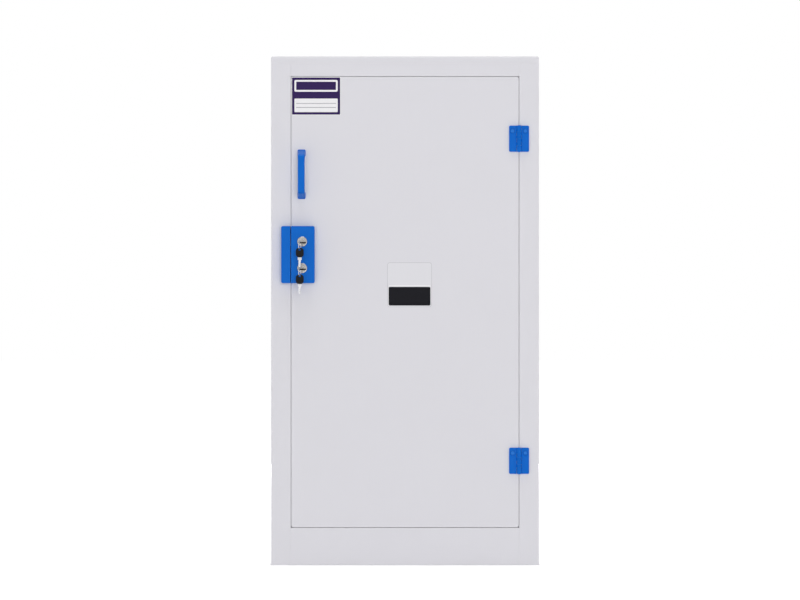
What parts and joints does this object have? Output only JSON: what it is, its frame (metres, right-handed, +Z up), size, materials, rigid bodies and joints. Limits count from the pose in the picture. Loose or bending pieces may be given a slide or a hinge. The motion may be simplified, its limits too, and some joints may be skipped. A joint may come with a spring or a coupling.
{
  "type": "one-door reagent cabinet",
  "caption": "Tall polypropylene cabinet for corrosive reagents: one flush hinged door with bow handle and two key locks, grooved uprights and lipped shelf trays inside, and a sump.",
  "frame": {"origin": "middle of the carcass's footprint, on the floor", "axes": "+Z up, the door faces -Y, +X to the right of someone facing the door"},
  "size_m": [0.59, 0.5205, 1.12],
  "materials": {
    "grey_polypropylene": "smooth pressed sheet",
    "blue_polypropylene": "satin, machined edges",
    "lock_steel": "polished",
    "screw_steel": "satin stainless",
    "key_steel": "nickel-plated blade, black plastic bow"
  },
  "bodies": {
    "cabinet": {"side_panel_left": "grey_polypropylene", "side_panel_right": "grey_polypropylene", "top_panel": "grey_polypropylene", "floor_panel": "grey_polypropylene", "base_bearers": "grey_polypropylene", "back_panel": "grey_polypropylene", "vent_port_upper": "grey_polypropylene", "vent_port_lower": "grey_polypropylene", "stile_left": "grey_polypropylene", "stile_right": "grey_polypropylene", "head_rail": "grey_polypropylene", "plinth_board": "grey_polypropylene", "door_stops_upright": "grey_polypropylene", "door_stops_level": "grey_polypropylene", "shelf_upright_left_front": "grey_polypropylene", "shelf_upright_left_rear": "grey_polypropylene", "shelf_upright_right_front": "grey_polypropylene", "shelf_upright_right_rear": "grey_polypropylene", "shelf_ledge_lower_left": "grey_polypropylene", "shelf_ledge_lower_right": "grey_polypropylene", "shelf_ledge_upper_left": "grey_polypropylene", "shelf_ledge_upper_right": "grey_polypropylene", "shelf_tray_lower": "grey_polypropylene", "shelf_tray_upper": "grey_polypropylene", "hinge_frame_leaf_upper": "blue_polypropylene", "hinge_frame_leaf_lower": "blue_polypropylene", "hinge_pin_upper": "blue_polypropylene", "hinge_pin_lower": "blue_polypropylene", "hinge_screws_frame": "blue_polypropylene", "lock_keeper": "blue_polypropylene", "lock_keeper_screws": "screw_steel"},
    "door": {"door_panel": "grey_polypropylene", "door_stiffener_latch": "grey_polypropylene", "door_stiffener_hinge": "grey_polypropylene", "door_stiffener_sill": "grey_polypropylene", "door_stiffener_head": "grey_polypropylene", "hinge_door_leaf_upper": "blue_polypropylene", "hinge_door_leaf_lower": "blue_polypropylene", "hinge_screws_door": "blue_polypropylene", "door_handle": "blue_polypropylene", "handle_screws": "screw_steel", "lock_case": "blue_polypropylene", "lock_case_screws": "screw_steel", "lock_barrel_upper": "lock_steel", "lock_barrel_lower": "lock_steel", "lock_nuts": "lock_steel"},
    "lock_plug_upper_body": {"lock_plug_upper": "lock_steel", "lock_cam_upper": "lock_steel", "lock_cam_screw_upper": "screw_steel", "lock_key_upper": "key_steel"},
    "lock_plug_lower_body": {"lock_plug_lower": "lock_steel", "lock_cam_lower": "lock_steel", "lock_cam_screw_lower": "screw_steel", "lock_key_lower": "key_steel"},
    "spare_key_upper_body": {"key_ring_upper": "key_steel", "spare_key_upper": "key_steel"},
    "spare_key_lower_body": {"key_ring_lower": "key_steel", "spare_key_lower": "key_steel"}
  },
  "joints": [
    {"name": "door_hinge", "type": "hinge", "parent": "cabinet", "child": "door", "pos_m": [0.251, -0.2356, 0.5841], "axis": [0, 0, 1], "range_deg": [0, 175]},
    {"name": "lock_turn_upper", "type": "hinge", "parent": "door", "child": "lock_plug_upper_body", "pos_m": [-0.226, -0.245, 0.7119], "axis": [0, -1, 0], "range_deg": [0, 90]},
    {"name": "lock_turn_lower", "type": "hinge", "parent": "door", "child": "lock_plug_lower_body", "pos_m": [-0.226, -0.245, 0.6536], "axis": [0, -1, 0], "range_deg": [0, 90]},
    {"name": "spare_key_swing_upper", "type": "hinge", "parent": "lock_plug_upper_body", "child": "spare_key_upper_body", "pos_m": [-0.2304, -0.276, 0.7089], "axis": [0, -1, 0], "range_deg": [-20, 20]},
    {"name": "spare_key_swing_lower", "type": "hinge", "parent": "lock_plug_lower_body", "child": "spare_key_lower_body", "pos_m": [-0.2304, -0.276, 0.6506], "axis": [0, -1, 0], "range_deg": [-20, 20]}
  ]
}
